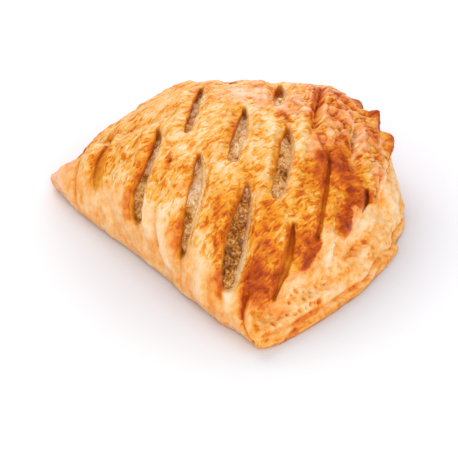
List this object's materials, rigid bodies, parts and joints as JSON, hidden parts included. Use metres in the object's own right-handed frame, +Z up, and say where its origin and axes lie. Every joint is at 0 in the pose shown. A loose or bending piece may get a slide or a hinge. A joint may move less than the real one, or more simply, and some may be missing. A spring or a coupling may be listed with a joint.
{
  "type": "apple turnover",
  "caption": "Half-moon puff pastry turnover with a folded front edge, slanting slits over an apple filling and a flaky, scalloped arc edge.",
  "frame": {"origin": "middle of the turnover's bounding box, on its flat underside", "axes": "+X along the fold, +Y from the fold towards the curved edge, +Z up"},
  "size_m": [0.1316, 0.1128, 0.0466],
  "materials": {
    "baked_pastry": "baked puff pastry with an egg glaze, satin",
    "apple_compote": "cooked apple, wet"
  },
  "bodies": {
    "root": {"pastry": "baked_pastry", "apple_filling": "apple_compote"}
  },
  "joints": []
}
